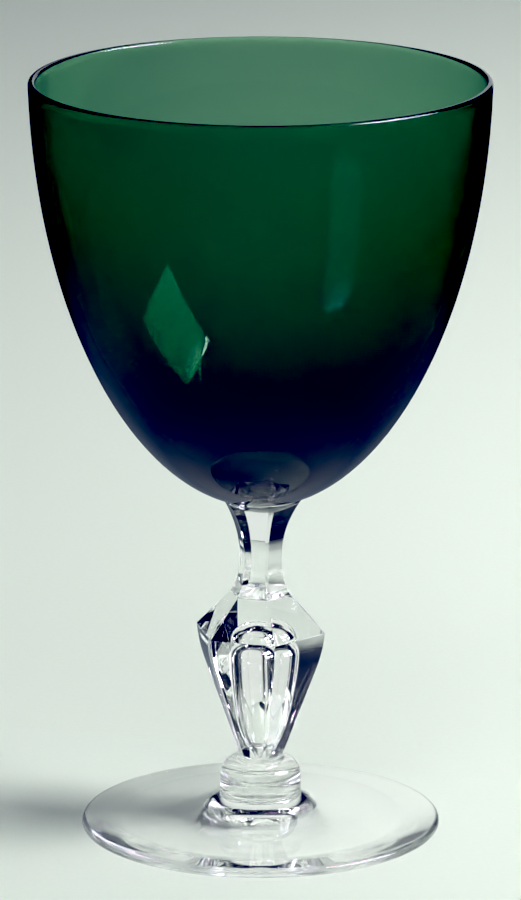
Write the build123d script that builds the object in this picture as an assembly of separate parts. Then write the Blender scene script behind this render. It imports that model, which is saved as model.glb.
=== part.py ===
from build123d import *
import os
from math import asin, cos, degrees, pi, sqrt

# Water goblet: a blown green bowl on a cut clear stem, with a button and a flat foot.
# Millimetres, +Z up, origin on the resting plane under the middle of the foot.

# Foot: a disc drawn up to a hub, hollowed below so that it stands on a flat ring
foot_diameter = 75.0
foot_rim_thickness = 2.0
foot_crown_diameter = 25.0
foot_crown_height = 4.7
foot_hub_height = 7.5
foot_ring_width = 6.5
foot_hollow_depth = 1.5

# Button between the foot and the stem, as wide as the hub that it sits on
button_diameter = 16.9
button_height = 7.8
button_shoulder_height = 3.7
button_land_height = 0.8
button_seat_lip = 0.35
crease_round = 0.4

# Stem: lengths from the button upwards, then widths across two opposite flats
taper_length = 19.6
belly_length = 7.7
shoulder_length = 7.7
bevel_length = 2.1
lower_neck_length = 5.4
upper_neck_length = 11.77
base_across_flats = 8.15
belly_across_flats = 21.15
girdle_across_flats = 24.25
bevel_across_flats = 11.35
waist_across_flats = 7.83
lower_neck_radius = 18.8
upper_neck_radius = 24.8
flat_pairs = 3
corner_turn = 12.5

# Air tear sealed in the stem, on its axis
tear_tail_rise = 1.0
tear_tail_length = 21.9
tear_full_length = 21.0
tear_dome_height = 3.8
tear_diameter = 10.4

# Bowl: an egg-shaped cup whose widest level would lie above its mouth
mouth_diameter = 95.0
bowl_height = 89.43
widest_above_mouth = 4.4
bowl_wall = 1.5
bowl_base = 5.0

# Extra stock that is cut away where the stem meets the round of the bowl
seat_stock = 4.0

# Levels, from the resting plane up
button_level = foot_hub_height
stem_level = button_level + button_height
belly_level = stem_level + taper_length
girdle_level = belly_level + belly_length
bevel_level = girdle_level + shoulder_length
neck_level = bevel_level + bevel_length
waist_level = neck_level + lower_neck_length
bowl_level = waist_level + upper_neck_length
mouth_level = bowl_level + bowl_height
lip_level = mouth_level - bowl_wall / 2
widest_level = mouth_level + widest_above_mouth

# Egg shape of the bowl's outside, as wide as the mouth where the rounded lip starts
outer_drop = widest_level - bowl_level
outer_reach = mouth_diameter / 2 / sqrt(1 - ((widest_level - lip_level) / outer_drop) ** 2)


def turned(edges):
    """Solid of revolution about Z from a closed outline drawn as (radius, height)."""
    return revolve(Plane.XZ * make_face(edges), Axis.Z)


def bowl_curve(reach, drop, top):
    """Arc of the egg shape from the axis at its lowest point out to the level top."""
    end = degrees(asin((top - widest_level) / drop))
    return EllipticalCenterArc((0, widest_level), reach, drop, -90, arc_size=end + 90)


def make_foot():
    hub_radius = button_diameter / 2
    rim_round = foot_rim_thickness / 2
    rim_inset = foot_diameter / 2 - rim_round
    ring_inset = foot_diameter / 2 - rim_round - foot_ring_width
    crown = Vector(foot_crown_diameter / 2, foot_crown_height)
    rim_top = Vector(rim_inset, foot_rim_thickness)
    hub_side = (hub_radius, foot_hub_height - crease_round)
    hub_edge = (hub_radius - crease_round, foot_hub_height)
    hollow_radius = (ring_inset**2 + foot_hollow_depth**2) / (2 * foot_hollow_depth)
    hollow_sweep = degrees(asin(ring_inset / hollow_radius))
    return turned([
        CenterArc((0, foot_hollow_depth - hollow_radius), hollow_radius, 90, -hollow_sweep),
        Line((ring_inset, 0), (rim_inset, 0)),
        ThreePointArc((rim_inset, 0), (foot_diameter / 2, rim_round), rim_top),
        Line(rim_top, crown),
        TangentArc(crown, hub_side, tangent=crown - rim_top),
        RadiusArc(hub_side, hub_edge, -crease_round),
        Line(hub_edge, (0, foot_hub_height)),
        Line((0, foot_hub_height), (0, foot_hollow_depth)),
    ])


def make_button():
    radius = button_diameter / 2
    seat_radius = base_across_flats / 2 / cos(pi / 2 / flat_pairs) + button_seat_lip
    shoulder_top = stem_level - button_land_height
    shoulder_foot = shoulder_top - button_shoulder_height
    return turned([
        Line((0, button_level), (radius - crease_round, button_level)),
        RadiusArc((radius - crease_round, button_level), (radius, button_level + crease_round), -crease_round),
        Line((radius, button_level + crease_round), (radius, shoulder_foot)),
        EllipticalCenterArc((seat_radius, shoulder_foot), radius - seat_radius, button_shoulder_height),
        Line((seat_radius, shoulder_top), (seat_radius, stem_level)),
        Line((seat_radius, stem_level), (0, stem_level)),
        Line((0, stem_level), (0, button_level)),
    ])


def stem_slab():
    """Slab with the stem's side outline, as wide as the stem is across its flats at each level."""
    base = Vector(base_across_flats / 2, stem_level)
    belly = Vector(belly_across_flats / 2, belly_level)
    girdle = (girdle_across_flats / 2, girdle_level)
    bevel = (bevel_across_flats / 2, bevel_level)
    waist = waist_across_flats / 2
    lower_sweep = degrees(asin(lower_neck_length / lower_neck_radius))
    upper_sweep = degrees(asin((upper_neck_length + seat_stock) / upper_neck_radius))
    lower_neck = CenterArc(
        (waist + lower_neck_radius, waist_level), lower_neck_radius, 180 + lower_sweep, -lower_sweep
    )
    upper_neck = CenterArc((waist + upper_neck_radius, waist_level), upper_neck_radius, 180, -upper_sweep)
    side = [
        Line(base, belly),
        TangentArc(belly, girdle, tangent=belly - base),
        Line(girdle, bevel),
        Line(bevel, lower_neck @ 0),
        lower_neck,
        upper_neck,
    ]
    far_side = [mirror(edge, about=Plane.YZ) for edge in side]
    bottom = Line(side[0] @ 0, far_side[0] @ 0)
    top = Line(side[-1] @ 1, far_side[-1] @ 1)
    outline = make_face(side + far_side + [bottom, top])
    return extrude(Plane.XZ * outline, girdle_across_flats, both=True)


def make_tear():
    tail = stem_level + tear_tail_rise
    swell = tail + tear_tail_length
    radius = tear_diameter / 2
    return turned([
        Bezier((radius, swell), (radius, swell - tear_full_length), (0, tail)),
        EllipticalCenterArc((0, swell), radius, tear_dome_height),
        Line((0, swell + tear_dome_height), (0, tail)),
    ])


def make_stem():
    slab = Rot(0, 0, corner_turn) * stem_slab()
    stem = slab
    for pair in range(1, flat_pairs):
        stem &= Rot(0, 0, pair * 180 / flat_pairs) * slab
    bowl_round = turned([
        bowl_curve(outer_reach, outer_drop, widest_level),
        Line((outer_reach, widest_level), (0, widest_level)),
        Line((0, widest_level), (0, bowl_level)),
    ])
    return stem - bowl_round - make_tear()


def make_bowl():
    outside = bowl_curve(outer_reach, outer_drop, lip_level)
    inside = bowl_curve(outer_reach - bowl_wall, outer_drop - bowl_base, lip_level)
    lip_middle = (outside @ 1 + inside @ 1) / 2
    return turned([
        outside,
        ThreePointArc(outside @ 1, (lip_middle.X, mouth_level), inside @ 1),
        inside,
        Line(inside @ 0, outside @ 0),
    ])


os.makedirs("parts", exist_ok=True)
pieces = {
    "foot": make_foot(),
    "button": make_button(),
    "stem": make_stem(),
    "bowl": make_bowl(),
}
for name, piece in pieces.items():
    piece.label = name
    export_step(piece, f"parts/{name}.step")
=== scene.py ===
import math

import bmesh
import bpy
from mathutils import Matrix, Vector


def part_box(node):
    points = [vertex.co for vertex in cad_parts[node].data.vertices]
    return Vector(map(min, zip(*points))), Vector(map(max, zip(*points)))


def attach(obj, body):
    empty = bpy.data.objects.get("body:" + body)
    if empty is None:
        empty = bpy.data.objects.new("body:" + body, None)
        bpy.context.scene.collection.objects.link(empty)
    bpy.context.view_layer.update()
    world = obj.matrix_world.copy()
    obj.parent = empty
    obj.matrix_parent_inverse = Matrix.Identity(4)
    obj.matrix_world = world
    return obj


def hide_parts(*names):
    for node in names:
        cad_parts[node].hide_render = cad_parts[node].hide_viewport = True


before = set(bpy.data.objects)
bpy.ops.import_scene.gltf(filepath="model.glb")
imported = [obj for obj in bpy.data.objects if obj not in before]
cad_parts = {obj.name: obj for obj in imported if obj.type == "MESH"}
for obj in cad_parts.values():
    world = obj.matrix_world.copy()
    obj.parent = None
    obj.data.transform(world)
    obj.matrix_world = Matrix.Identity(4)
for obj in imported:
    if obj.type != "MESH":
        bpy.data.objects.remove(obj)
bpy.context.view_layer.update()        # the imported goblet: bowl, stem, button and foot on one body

mm = 0.001
scene = bpy.context.scene
goblet = "root"          # nothing on a goblet moves, so every piece rides on this body


# small helpers for profiles, all in mm

cornerEase = {
    "leastTurn": 12,         # degrees, gentler turns are already part of a curve
    "mostCut": 0.4,          # of the stretch on each side of a corner
    "parts": 4,
    "hold": 0.2,             # of the cut, from the end of the round to the held point
}


def ovalPoints(centre, reach, drop, start, end, parts):
    turns = [math.radians(start + (end - start) * i / parts) for i in range(parts + 1)]
    return [(centre[0] + reach * math.cos(a), centre[1] + drop * math.sin(a)) for a in turns]


def tangentArc(start, slope, end, parts):
    # arc that leaves start along the slope and runs to end
    chord = end - start
    normal = Vector((-slope.y, slope.x))
    bend = chord.length_squared / (2 * chord.dot(normal))    # below zero where it turns to the right
    centre = start + normal * bend
    first = math.degrees(math.atan2(*(start - centre).yx))
    last = math.degrees(math.atan2(*(end - centre).yx))
    sweep = (last - first) % math.copysign(360, bend)
    return ovalPoints(centre, abs(bend), abs(bend), first, first + sweep, parts)


def easedCorners(points, ease):
    # rounds the true corners of an outline, leaves stretches that are already curved alone
    # a held point on each side of a corner keeps the flats beside it flat when they are smoothed
    parts, hold = cornerEase["parts"], cornerEase["hold"]
    eased = [points[0]]
    for before, corner, after in zip(points, points[1:], points[2:]):
        a, b, c = Vector(before), Vector(corner), Vector(after)
        turn = (b - a).angle(c - b)
        if turn < math.radians(cornerEase["leastTurn"]):
            eased.append(corner)
            continue
        most = cornerEase["mostCut"] * min((b - a).length, (c - b).length)
        cut = min(ease * math.tan(turn / 2), most)
        toBefore, toAfter = (a - b).normalized(), (c - b).normalized()
        start, end = b + toBefore * cut, b + toAfter * cut
        eased.append(tuple(start + toBefore * cut * hold))
        for i in range(parts + 1):
            s = i / parts
            eased.append(tuple(start * (1 - s) ** 2 + b * 2 * s * (1 - s) + end * s ** 2))
        eased.append(tuple(end + toAfter * cut * hold))
    return eased + [points[-1]]


# mesh helpers

creaseTurn = 28          # degrees, edges that turn more than this stay crisp


def skinRings(bm, rings):
    # quads from each ring to the next, a fan where a ring is a single point
    made = []
    for low, high in zip(rings, rings[1:]):
        for j in range(max(len(low), len(high))):
            corners = [low[j % len(low)], low[(j + 1) % len(low)],
                       high[(j + 1) % len(high)], high[j % len(high)]]
            made.append(bm.faces.new(list(dict.fromkeys(corners))))
    return made


def addTurned(bm, outline, steps):
    spin = [math.tau * j / steps for j in range(steps)]
    rings = []
    for radius, height in outline:
        if radius == 0:                        # a point on the axis
            rings.append([bm.verts.new((0, 0, height * mm))])
            continue
        rings.append([bm.verts.new((radius * math.cos(a) * mm, radius * math.sin(a) * mm, height * mm))
                      for a in spin])
    return skinRings(bm, rings)


def makePiece(node, bm, finishes):
    for face in bm.faces:
        face.smooth = True
    for edge in bm.edges:
        edge.smooth = edge.calc_face_angle(0) < math.radians(creaseTurn)
    mesh = bpy.data.meshes.new(node)
    bm.to_mesh(mesh)
    bm.free()
    piece = bpy.data.objects.new(node + "Glass", mesh)
    scene.collection.objects.link(piece)
    for finish in finishes:
        mesh.materials.append(finish)
    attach(piece, goblet)
    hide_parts(node)
    print("made", piece.name, len(mesh.polygons), "faces")
    return piece


# finishes

handLook = {                             # the same on all the glass
    "swellDetail": 2,
    "hazeDetail": 6,
    "hazeSpan": (0.45, 0.8),             # of the noise, over which the haze grows
}
greenLook = {
    "tint": (1, 1, 1),
    "ior": 1.5,
    "depthColour": (0.03, 0.43, 0.11),   # what a thick stretch of it still lets through
    "depth": 1000,                       # per metre
    "stretch": (1, 1, 0.5),
    "swellScale": 45,
    "swellHeight": 0.02,                 # mm
    "hazeScale": 260,
    "hazeMost": 0.01,
}
clearLook = {
    "tint": (0.994, 1, 0.985),
    "ior": 1.52,
    "stretch": (1, 1, 0.4),
    "swellScale": 160,
    "swellHeight": 0.001,
    "hazeScale": 420,
    "hazeMost": 0.008,
}


def newFinish(name):
    finish = bpy.data.materials.new(name)
    finish.use_nodes = True
    nodes = finish.node_tree.nodes
    nodes.clear()
    return finish, nodes, finish.node_tree.links


def glassFinish(name, look):
    finish, nodes, links = newFinish(name)
    out = nodes.new("ShaderNodeOutputMaterial")
    glass = nodes.new("ShaderNodeBsdfPrincipled")
    glass.inputs["Base Color"].default_value = (*look["tint"], 1)
    glass.inputs["Transmission Weight"].default_value = 1
    glass.inputs["IOR"].default_value = look["ior"]
    links.new(glass.outputs["BSDF"], out.inputs["Surface"])
    place = nodes.new("ShaderNodeTexCoord")
    stretch = nodes.new("ShaderNodeMapping")
    stretch.inputs["Scale"].default_value = look["stretch"]
    links.new(place.outputs["Object"], stretch.inputs["Vector"])
    swell = nodes.new("ShaderNodeTexNoise")          # slow swell of hand-worked glass
    swell.inputs["Scale"].default_value = look["swellScale"]
    swell.inputs["Detail"].default_value = handLook["swellDetail"]
    links.new(stretch.outputs["Vector"], swell.inputs["Vector"])
    bump = nodes.new("ShaderNodeBump")
    bump.inputs["Strength"].default_value = 1
    bump.inputs["Distance"].default_value = look["swellHeight"] * mm
    links.new(swell.outputs["Fac"], bump.inputs["Height"])
    links.new(bump.outputs["Normal"], glass.inputs["Normal"])
    wear = nodes.new("ShaderNodeTexNoise")           # fine haze left by polishing and washing
    wear.inputs["Scale"].default_value = look["hazeScale"]
    wear.inputs["Detail"].default_value = handLook["hazeDetail"]
    links.new(place.outputs["Object"], wear.inputs["Vector"])
    haze = nodes.new("ShaderNodeMapRange")
    haze.inputs["From Min"].default_value, haze.inputs["From Max"].default_value = handLook["hazeSpan"]
    haze.inputs["To Min"].default_value = 0
    haze.inputs["To Max"].default_value = look["hazeMost"]
    links.new(wear.outputs["Fac"], haze.inputs["Value"])
    links.new(haze.outputs["Result"], glass.inputs["Roughness"])
    if "depth" in look:
        colour = nodes.new("ShaderNodeVolumeAbsorption")
        colour.inputs["Color"].default_value = (*look["depthColour"], 1)
        colour.inputs["Density"].default_value = look["depth"]
        links.new(colour.outputs["Volume"], out.inputs["Volume"])
    return finish


def joinFinish():
    # two clear gathers joined hot are one glass, so the faces that meet inside bend no light
    finish, nodes, links = newFinish("joinedHot")
    out = nodes.new("ShaderNodeOutputMaterial")
    through = nodes.new("ShaderNodeBsdfTransparent")
    links.new(through.outputs["BSDF"], out.inputs["Surface"])
    return finish


greenGlass = glassFinish("blownGreen", greenLook)
clearGlass = glassFinish("clearCrystal", clearLook)
joinedHot = joinFinish()
clearFinishes = [clearGlass, joinedHot]
joinSlot = clearFinishes.index(joinedHot)
print("finishes ready")


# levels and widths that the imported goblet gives, in mm
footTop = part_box("foot")[1].z / mm
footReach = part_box("foot")[1].x / mm
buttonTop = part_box("button")[1].z / mm
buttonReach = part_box("button")[1].x / mm
bowlBottom, mouthTop = (corner.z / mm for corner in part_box("bowl"))
# the least of the four sides, so that the round mouth stays inside the box
mouthReach = min(abs(side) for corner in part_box("bowl") for side in corner.xy) / mm

bowlShape = {
    "wall": 1.5,
    "base": 5.0,
    "widestAboveMouth": 4.4,   # the egg shape would go on getting wider past the mouth
    "rows": 90,
    "lipRows": 10,
    "steps": 240,
}
widestLevel = mouthTop + bowlShape["widestAboveMouth"]
lipLevel = mouthTop - bowlShape["wall"] / 2
outerDrop = widestLevel - bowlBottom
outerReach = mouthReach / math.sqrt(1 - ((widestLevel - lipLevel) / outerDrop) ** 2)


def bowlUnderside(radius):
    return widestLevel - outerDrop * math.sqrt(1 - (radius / outerReach) ** 2)


def makeBowl(shape):
    def side(reach, drop):
        top = math.degrees(math.asin((lipLevel - widestLevel) / drop))
        return ovalPoints((0, widestLevel), reach, drop, -90, top, shape["rows"])
    outside = side(outerReach, outerDrop)
    inside = side(outerReach - shape["wall"], outerDrop - shape["base"])
    outside[0] = (0, bowlBottom)
    inside[0] = (0, bowlBottom + shape["base"])
    middle = (outside[-1][0] + inside[-1][0]) / 2
    half = outside[-1][0] - middle
    lip = ovalPoints((middle, lipLevel), half, mouthTop - lipLevel, 0, 180, shape["lipRows"])
    bm = bmesh.new()
    addTurned(bm, outside + lip[1:-1] + inside[::-1], shape["steps"])
    return makePiece("bowl", bm, [greenGlass])


stemShape = {
    "taperLength": 19.6,
    "bellyLength": 7.7,
    "shoulderLength": 7.7,
    "bevelLength": 2.1,
    "lowerNeckLength": 5.4,
    "baseFlats": 8.15,         # widths across two opposite flats
    "bellyFlats": 21.15,
    "girdleFlats": 24.25,
    "bevelFlats": 11.35,
    "waistFlats": 7.83,
    "lowerNeckRadius": 18.8,
    "upperNeckRadius": 24.8,
    "sides": 6,
    "cornerTurn": 12.5,
    "edgeEase": 0.15,          # how far the cut edges are softened
    "edgeMost": 0.25,          # and at most this share of the half width
    "edgeHold": 0.03,          # the flats stay flat up to here beside an edge
    "columns": 8,
    "cornerParts": 3,
    "taperRows": 10,
    "bellyRows": 12,
    "lowerNeckRows": 14,
    "upperNeckRows": 36,
    "capShares": (0.75, 0.5, 0.25),
    "sunk": 0.02,              # how far the top reaches into the bowl
    "settles": 8,              # rounds that find where the neck meets the bowl
}
tearShape = {
    "tailRise": 1.0,
    "tailLength": 21.9,
    "fullLength": 21.0,
    "domeHeight": 3.8,
    "width": 10.4,
    "rows": 40,
    "domeRows": 20,
    "steps": 96,
}
waistLevel = (buttonTop + stemShape["taperLength"] + stemShape["bellyLength"] + stemShape["shoulderLength"]
              + stemShape["bevelLength"] + stemShape["lowerNeckLength"])


def flatSection(shape, half):
    # one ring of the six-sided stem, its corners eased
    ease = min(shape["edgeEase"], half * shape["edgeMost"])
    fold = math.pi / shape["sides"]
    reach = (half - ease) * math.tan(fold)
    held = reach - shape["edgeHold"]
    slides = [held * (2 * i / shape["columns"] - 1) for i in range(shape["columns"] + 1)]
    corner = (half - ease) / math.cos(fold)
    ring = []
    for k in range(shape["sides"]):
        face = math.radians(shape["cornerTurn"]) + 2 * fold * k
        for slide in [-reach] + slides + [reach]:
            ring.append((half * math.cos(face) - slide * math.sin(face),
                         half * math.sin(face) + slide * math.cos(face)))
        for i in range(1, shape["cornerParts"]):
            spin = face + 2 * fold * i / shape["cornerParts"]
            ring.append((corner * math.cos(face + fold) + ease * math.cos(spin),
                         corner * math.sin(face + fold) + ease * math.sin(spin)))
    return ring


def stemSide(shape):
    # half width across the flats and height, from the button to the waist of the neck
    base = Vector((shape["baseFlats"] / 2, buttonTop))
    belly = Vector((shape["bellyFlats"] / 2, base.y + shape["taperLength"]))
    girdle = Vector((shape["girdleFlats"] / 2, belly.y + shape["bellyLength"]))
    bevel = Vector((shape["bevelFlats"] / 2, girdle.y + shape["shoulderLength"]))
    taper = [tuple(base.lerp(belly, i / shape["taperRows"])) for i in range(shape["taperRows"])]
    swell = tangentArc(belly, (belly - base).normalized(), girdle, shape["bellyRows"])
    radius = shape["lowerNeckRadius"]
    sweep = math.degrees(math.asin(shape["lowerNeckLength"] / radius))
    hollow = (shape["waistFlats"] / 2 + radius, waistLevel)
    neck = ovalPoints(hollow, radius, radius, 180 + sweep, 180, shape["lowerNeckRows"])
    return easedCorners(taper + swell + [tuple(bevel)] + neck, shape["edgeEase"])


def upperNeckHalf(shape, height):
    rise = height - waistLevel
    radius = shape["upperNeckRadius"]
    return shape["waistFlats"] / 2 + radius - math.sqrt(radius ** 2 - rise ** 2)


def capStem(bm, shape, ring, row, level, order):
    # closes an end with rings that shrink to the axis, each point at the level there
    closing = [ring]
    for share in shape["capShares"]:
        closing.append([bm.verts.new(Vector((x * share, y * share, level(x * share, y * share))) * mm)
                        for x, y, z in row])
    closing.append([bm.verts.new(Vector((0, 0, level(0, 0))) * mm)])
    for face in skinRings(bm, closing[::order]):
        face.material_index = joinSlot


def addTear(bm, tear):
    # the air sealed in the stem, a closed skin of its own
    tail = buttonTop + tear["tailRise"]
    swell = tail + tear["tailLength"]
    dome = ovalPoints((0, swell), tear["width"] / 2, tear["domeHeight"], 90, 0, tear["domeRows"])
    dome[0] = (0, swell + tear["domeHeight"])
    sides = []
    for i in range(1, tear["rows"] + 1):
        s = i / tear["rows"]
        radius = tear["width"] / 2 * (1 - s * s)
        height = swell - 2 * s * (1 - s) * tear["fullLength"] - s * s * tear["tailLength"]
        sides.append((radius, height))
    sides[-1] = (0, tail)
    addTurned(bm, dome + sides, tear["steps"])


def makeStem(shape, tear):
    def bowlSeat(x, y):
        return bowlUnderside(math.hypot(x, y)) + shape["sunk"]

    def buttonSeat(x, y):
        return buttonTop
    rows = [[(x, y, height) for x, y in flatSection(shape, half)] for half, height in stemSide(shape)]
    around = len(rows[0])
    tops = []
    for j in range(around):                    # where each upright line of the neck meets the bowl
        height = bowlBottom
        for settle in range(shape["settles"]):
            height = bowlSeat(*flatSection(shape, upperNeckHalf(shape, height))[j])
        tops.append(height)
    for i in range(1, shape["upperNeckRows"] + 1):
        row = []
        for j in range(around):
            height = waistLevel + (tops[j] - waistLevel) * i / shape["upperNeckRows"]
            x, y = flatSection(shape, upperNeckHalf(shape, height))[j]
            row.append((x, y, height))
        rows.append(row)
    bm = bmesh.new()
    rings = [[bm.verts.new(Vector(p) * mm) for p in row] for row in rows]
    skinRings(bm, rings)
    capStem(bm, shape, rings[-1], rows[-1], bowlSeat, 1)
    capStem(bm, shape, rings[0], rows[0], buttonSeat, -1)
    addTear(bm, tear)
    return makePiece("stem", bm, clearFinishes)


buttonShape = {
    "shoulderHeight": 3.7,
    "shoulderRows": 24,
    "landHeight": 0.8,
    "landEase": 0.2,           # round of the edge under the stem
    "seatLip": 0.35,
    "crease": 0.4,
    "creaseRows": 6,
    "innerShare": 0.5,         # place of the ring inside the seats above and below
    "steps": 180,
}


def makeButton(shape, stem):
    fold = math.pi / stem["sides"]
    seat = stem["baseFlats"] / 2 / math.cos(fold) + shape["seatLip"]
    shoulderFoot = buttonTop - shape["landHeight"] - shape["shoulderHeight"]
    crease = shape["crease"]
    inner = shape["innerShare"]
    edge = ovalPoints((buttonReach - crease, footTop + crease), crease, crease, -90, 0, shape["creaseRows"])
    shoulder = ovalPoints((seat, shoulderFoot), buttonReach - seat, shape["shoulderHeight"], 0, 90,
                          shape["shoulderRows"])
    side = easedCorners(shoulder + [(seat, buttonTop), (0, buttonTop)], shape["landEase"])[:-1]
    bm = bmesh.new()
    bottom = addTurned(bm, [(0, footTop), (buttonReach * inner, footTop)] + edge[:1], shape["steps"])
    for face in bottom:
        face.material_index = joinSlot
    rim = list(bm.verts)[-shape["steps"]:]
    spokes = [v.co.xy.normalized() for v in rim]
    rings = [rim]
    for radius, height in edge[1:] + side:
        rings.append([bm.verts.new((spoke * radius * mm).to_3d() + Vector((0, 0, height * mm)))
                      for spoke in spokes])
    flats = []
    for v, spoke in zip(rim, spokes):          # the stem's six-sided seat
        turn = math.atan2(v.co.y, v.co.x) - math.radians(stem["cornerTurn"])
        slant = (turn + fold) % (2 * fold) - fold
        flats.append(spoke * (stem["baseFlats"] / 2 / math.cos(slant)))
    rings.append([bm.verts.new(Vector((p.x, p.y, buttonTop)) * mm) for p in flats])
    skinRings(bm, rings)
    innerRing = [bm.verts.new(Vector((p.x * inner, p.y * inner, buttonTop)) * mm) for p in flats]
    middle = [bm.verts.new((0, 0, buttonTop * mm))]
    for face in skinRings(bm, [rings[-1], innerRing, middle]):
        face.material_index = joinSlot
    return makePiece("button", bm, clearFinishes)


footShape = {
    "rimThickness": 2.0,
    "rimRows": 14,
    "crownReach": 12.5,
    "crownHeight": 4.7,
    "slopeRows": 12,
    "flareRows": 18,
    "ringWidth": 6.5,
    "hollowDepth": 1.5,
    "hollowRows": 24,
    "steps": 240,
}


def makeFoot(shape, button):
    depth = shape["hollowDepth"]
    rimRound = shape["rimThickness"] / 2
    rimInset = footReach - rimRound
    ringInset = rimInset - shape["ringWidth"]
    hollow = (ringInset ** 2 + depth ** 2) / (2 * depth)
    sweep = math.degrees(math.asin(ringInset / hollow))
    under = ovalPoints((0, depth - hollow), hollow, hollow, 90, 90 - sweep, shape["hollowRows"])
    under[0] = (0, depth)
    rim = ovalPoints((rimInset, rimRound), rimRound, rimRound, -90, 90, shape["rimRows"])
    rimTop = Vector((rimInset, shape["rimThickness"]))
    crown = Vector((shape["crownReach"], shape["crownHeight"]))
    slope = [tuple(rimTop.lerp(crown, i / shape["slopeRows"])) for i in range(1, shape["slopeRows"])]
    crease = button["crease"]
    hubSide = Vector((buttonReach, footTop - crease))
    flare = tangentArc(crown, (crown - rimTop).normalized(), hubSide, shape["flareRows"])
    hub = ovalPoints((buttonReach - crease, footTop - crease), crease, crease, 0, 90, button["creaseRows"])
    seat = [(buttonReach * button["innerShare"], footTop), (0, footTop)]
    bm = bmesh.new()
    made = addTurned(bm, under + rim + slope + flare + hub[1:] + seat, shape["steps"])
    for face in made[-len(seat) * shape["steps"]:]:    # the button's seat on the hub
        face.material_index = joinSlot
    return makePiece("foot", bm, clearFinishes)


foot = makeFoot(footShape, buttonShape)
foot.visible_shadow = False    # clear glass this flat lets the light through to the table
foot.visible_diffuse = False   # so the table's light doesn't meet it either
makeButton(buttonShape, stemShape)
makeStem(stemShape, tearShape)
makeBowl(bowlShape)


# table, surrounds and light
floorLook = {
    "colour": (0.73, 0.80, 0.725),
    "shade": (0.69, 0.76, 0.685),
    "grain": 900,
    "grainDetail": 4,
    "roughness": 0.75,
    "gloss": 0.15,
    "drop": 0.05,              # mm under the foot
    "reach": 4000,
    "steps": 96,
}
# glowing cards that only the glass sees: painted reflections of the table, a painted backdrop, painted
# light and painted shade
cardLook = {
    "hole": 39,                # mm from the axis, clear of the foot
    "reach": 1500,
    "rise": 0.4,               # mm above the table
    "steps": 96,
    "ringNear": (0.31, 0.36, 0.38),
    "ringFar": (0.003, 0.003, 0.004),
    "ringFade": (39, 400),     # mm out, over which the ring's painted reflection gets dark
    "ringStretch": (1.15, 1, 0),
    "ringMiddle": -25,         # mm, left of the axis, so that its painted reflection gets dark sooner on the right
    "collar": (0.6, 0.64, 0.63),
    "collarFade": (39, 100),   # mm out from the axis, over which the collar's paler painted reflection of the table close to the foot fades
    "collarRise": 0.8,
    "pale": (0.8, 0.85, 0.81),
    "paleAway": 1000,          # mm behind the goblet, where the pale glowing card of painted backdrop stands
    "paleTall": 1000,
    "paleFade": (580, 900),    # mm out to each side, over which it ends
    "sheenMiddle": 170,        # mm to the right, middle of the painted reflection on the top of the foot
    "sheenFade": (120, 240),
    "bounce": (0.86, 0.93, 0.88),
    "bounceMiddle": (-140, 450, 1),
    "bounceStretch": (1, 0.35, 0),
    "bounceFade": (40, 130),
    "shade": (0.01, 0.012, 0.016),
    "shadeMiddle": (338, 560, 1),
    "shadeStretch": (1, 0.4, 0),
    "shadeFade": (120, 200),
}
lightLook = {                  # places and sizes in metres
    "corners": ((0.91, -0.43, 0.50), (0.68, -0.59, 0.95), (1.13, 0.12, 1.12), (1.35, 0.25, 0.62)),
    "glow": 17,                # of the softbox as the glass sees it
    "tint": (1, 1, 1.3),
    "hot": (4, 2.4, 4),        # along its top edge, near the lamp
    "hotMiddle": (0.68, -0.32, 1.65),
    "hotFade": (770, 790),     # mm from there
    "place": (1.258, -0.01, 0.985),
    "aim": (0.6, 0.27, 0),
    "size": (1.1, 0.45),
    "spread": 86,              # degrees
    "power": 14.1,             # watts
    "fillPlace": (-0.3, -1.8, 1.5),
    "fillAim": (0, 0, 0),
    "fillSize": (2, 2),
    "fillPower": 20,
    "backPlace": (0.85, 1.6, 0.7),
    "backAim": (0.75, 1.15, 0),
    "backSize": (1.2, 0.4),
    "backPower": 1.35,
    "room": (0.012, 0.013, 0.02),
}


def makeFloor(look):
    finish, nodes, links = newFinish("paleTable")
    out = nodes.new("ShaderNodeOutputMaterial")
    sheet = nodes.new("ShaderNodeBsdfPrincipled")
    place = nodes.new("ShaderNodeTexCoord")
    grain = nodes.new("ShaderNodeTexNoise")
    grain.inputs["Scale"].default_value = look["grain"]
    grain.inputs["Detail"].default_value = look["grainDetail"]
    tone = nodes.new("ShaderNodeValToRGB")
    tone.color_ramp.elements[0].color = (*look["shade"], 1)
    tone.color_ramp.elements[1].color = (*look["colour"], 1)
    sheet.inputs["Roughness"].default_value = look["roughness"]
    sheet.inputs["Specular IOR Level"].default_value = look["gloss"]
    links.new(place.outputs["Object"], grain.inputs["Vector"])
    links.new(grain.outputs["Fac"], tone.inputs["Fac"])
    links.new(tone.outputs["Color"], sheet.inputs["Base Color"])
    links.new(sheet.outputs["BSDF"], out.inputs["Surface"])
    bm = bmesh.new()
    bmesh.ops.create_circle(bm, cap_ends=True, segments=look["steps"], radius=look["reach"] * mm)
    mesh = bpy.data.meshes.new("table")
    bm.to_mesh(mesh)
    bm.free()
    mesh.materials.append(finish)
    floor = bpy.data.objects.new("table", mesh)
    floor.location.z = -look["drop"] * mm
    scene.collection.objects.link(floor)


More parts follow.
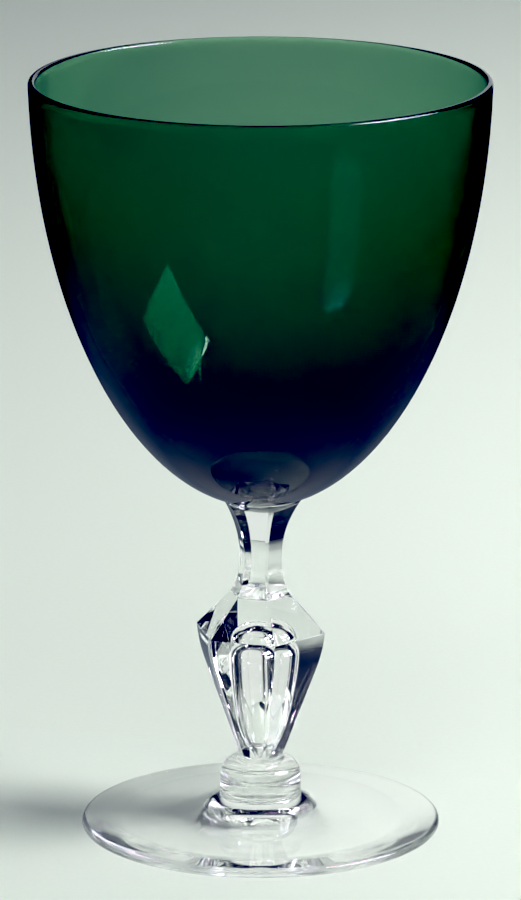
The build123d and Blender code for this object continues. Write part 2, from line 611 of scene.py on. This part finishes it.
def glowCardFinish(name, near, axes, fadeSpan, far=None, glow=1):
    # glowing card, light painted where there is no lamp, that turns to its far colour, or to nothing, along
    # the given axes
    finish, nodes, links = newFinish(name)
    out = nodes.new("ShaderNodeOutputMaterial")
    mix = nodes.new("ShaderNodeMixShader")
    links.new(mix.outputs["Shader"], out.inputs["Surface"])
    for i, colour in enumerate((near, far)):
        part = nodes.new("ShaderNodeEmission" if colour else "ShaderNodeBsdfTransparent")
        part.inputs["Color"].default_value = (*(colour or (1, 1, 1)), 1)
        if colour:
            part.inputs["Strength"].default_value = glow
        links.new(part.outputs[0], mix.inputs[i + 1])
    place = nodes.new("ShaderNodeTexCoord")
    flat = nodes.new("ShaderNodeVectorMath")
    flat.operation = "MULTIPLY"
    flat.inputs[1].default_value = axes
    away = nodes.new("ShaderNodeVectorMath")
    away.operation = "LENGTH"
    fade = nodes.new("ShaderNodeMapRange")
    fade.interpolation_type = "SMOOTHSTEP"
    fade.inputs["From Min"].default_value = fadeSpan[0] * mm
    fade.inputs["From Max"].default_value = fadeSpan[1] * mm
    links.new(place.outputs["Object"], flat.inputs[0])
    links.new(flat.outputs["Vector"], away.inputs[0])
    links.new(away.outputs["Value"], fade.inputs["Value"])
    links.new(fade.outputs["Result"], mix.inputs["Fac"])
    return finish


def flatCard(corners, middle):
    bm = bmesh.new()
    bm.faces.new([bm.verts.new(Vector(corner) - Vector(middle)) for corner in corners])
    return bm


def placeCard(name, bm, finish, glossy, through, middle):
    mesh = bpy.data.meshes.new(name)
    bm.to_mesh(mesh)
    bm.free()
    mesh.materials.append(finish)
    card = bpy.data.objects.new(name, mesh)
    card.location = middle
    card.visible_camera = False                # the glass alone sees the cards
    card.visible_diffuse = False
    card.visible_shadow = False
    card.visible_glossy = glossy
    card.visible_transmission = through
    scene.collection.objects.link(card)


def makeRings(look):
    # a glowing ring round the foot, pale by the foot and dark further out, paints the reflection that keeps
    # the bowl's underside dark, with a paler glowing collar over it for the table close to the foot
    around = [math.tau * i / look["steps"] for i in range(look["steps"])]
    ring = glowCardFinish("ringPaintedReflection", look["ringNear"], look["ringStretch"], look["ringFade"], look["ringFar"])
    collar = glowCardFinish("collarPaintedReflection", look["collar"], (1, 1, 0), look["collarFade"])
    for finish, reach, rise, middle in ((ring, look["reach"], look["rise"], look["ringMiddle"]),
                                        (collar, look["collarFade"][1], look["collarRise"], 0)):
        bm = bmesh.new()
        rims = []
        for radius in (look["hole"], reach):
            points = [(radius * math.cos(a) - middle, radius * math.sin(a), rise) for a in around]
            rims.append([bm.verts.new(Vector(p) * mm) for p in points])
        skinRings(bm, rims)
        placeCard(finish.name, bm, finish, True, False, (middle * mm, 0, 0))


def makeUprightCards(look):
    # a pale glowing card stands behind, a painted backdrop seen only through the glass, and a small one is
    # a painted reflection on the top of the foot
    for name, middle, fade, glossy in (("paleBackdropGlow", 0, look["paleFade"], False),
                                       ("sheenCard", look["sheenMiddle"], look["sheenFade"], True)):
        place = Vector((middle, look["paleAway"], 0)) * mm
        left, right = place.x - fade[1] * mm, place.x + fade[1] * mm
        top = look["paleTall"] * mm
        corners = [(left, place.y, 0), (right, place.y, 0), (right, place.y, top), (left, place.y, top)]
        finish = glowCardFinish(name, look["pale"], (1, 0, 0), fade)
        placeCard(name, flatCard(corners, place), finish, glossy, not glossy, place)


def makeLyingCards(look):
    # a pale glowing card lies behind on the left, painted light that lifts that side of the bowl, and a
    # dark one on the right, painted shade that keeps that edge dark; only the glass sees them through
    for name in ("bounce", "shade"):
        place = Vector(look[name + "Middle"]) * mm
        wide, deep = (look[name + "Fade"][1] / stretch * mm for stretch in look[name + "Stretch"][:2])
        corners = [place + Vector((x * wide, y * deep, 0)) for x, y in ((-1, -1), (1, -1), (1, 1), (-1, 1))]
        finish = glowCardFinish(name + "Card", look[name], look[name + "Stretch"], look[name + "Fade"])
        placeCard(name + "Card", flatCard(corners, place), finish, False, True, place)


def makeLight(name, size, power, place, aim):
    lamp = bpy.data.lights.new(name, "AREA")
    lamp.shape = "RECTANGLE"
    lamp.size, lamp.size_y = size
    lamp.energy = power
    holder = bpy.data.objects.new(name, lamp)
    holder.location = place
    holder.rotation_euler = (Vector(aim) - Vector(place)).to_track_quat("-Z", "Y").to_euler()
    holder.visible_glossy = False              # lights the table, the glass sees the softbox
    holder.visible_transmission = False
    scene.collection.objects.link(holder)
    return holder


def makeLights(look):
    finish = glowCardFinish("softbox", look["hot"], (1, 1, 1), look["hotFade"], look["tint"], look["glow"])
    softbox = flatCard(look["corners"], look["hotMiddle"])
    placeCard("softbox", softbox, finish, True, True, look["hotMiddle"])
    key = makeLight("key", look["size"], look["power"], look["place"], look["aim"])
    key.data.spread = math.radians(look["spread"])
    makeLight("fill", look["fillSize"], look["fillPower"], look["fillPlace"], look["fillAim"])
    makeLight("back", look["backSize"], look["backPower"], look["backPlace"], look["backAim"])


def makeRoom(look):
    room = bpy.data.worlds.new("studio")
    room.use_nodes = True
    room.node_tree.nodes["Background"].inputs["Color"].default_value = (*look["room"], 1)
    scene.world = room


makeFloor(floorLook)
makeRings(cardLook)
makeUprightCards(cardLook)
makeLyingCards(cardLook)
makeRoom(lightLook)
makeLights(lightLook)
print("table and lights ready")


# camera, fitted to the ellipses of the mouth and the foot in the 521 x 900 picture
cameraLook = {
    "away": 1308.6,            # mm
    "raised": 14.55,           # degrees
    "target": 80.95,           # mm above the table
    "focalPixels": 6322,
    "pictureHeight": 900,
    "sensor": 36,
    "sees": 20,                # metres
}
renderLook = {
    "bounces": 32,
    "glossyBounces": 24,
    "blacks": (0.05, 0.045, 0.012),    # the photo's blacks are deep and bluish
}


def makeCamera(look):
    lens = bpy.data.cameras.new("photoCamera")
    lens.sensor_width = look["sensor"]
    lens.lens = look["focalPixels"] * look["sensor"] / look["pictureHeight"]
    lens.clip_end = look["sees"]
    camera = bpy.data.objects.new("photoCamera", lens)
    raised = math.radians(look["raised"])
    camera.location = (0, -look["away"] * math.cos(raised) * mm,
                       (look["target"] + look["away"] * math.sin(raised)) * mm)
    camera.rotation_euler = (math.pi / 2 - raised, 0, 0)
    scene.collection.objects.link(camera)
    scene.camera = camera


def setRender(look):
    scene.cycles.max_bounces = look["bounces"]
    scene.cycles.transmission_bounces = look["bounces"]
    scene.cycles.transparent_max_bounces = look["bounces"]
    scene.cycles.glossy_bounces = look["glossyBounces"]
    scene.cycles.caustics_reflective = False
    scene.cycles.caustics_refractive = False
    scene.cycles.sample_clamp_indirect = 0
    scene.cycles.use_denoising = True
    scene.view_settings.view_transform = "Standard"
    scene.view_settings.use_curve_mapping = True
    scene.view_settings.curve_mapping.black_level = look["blacks"]


makeCamera(cameraLook)
setRender(renderLook)
print("camera and render settings ready")
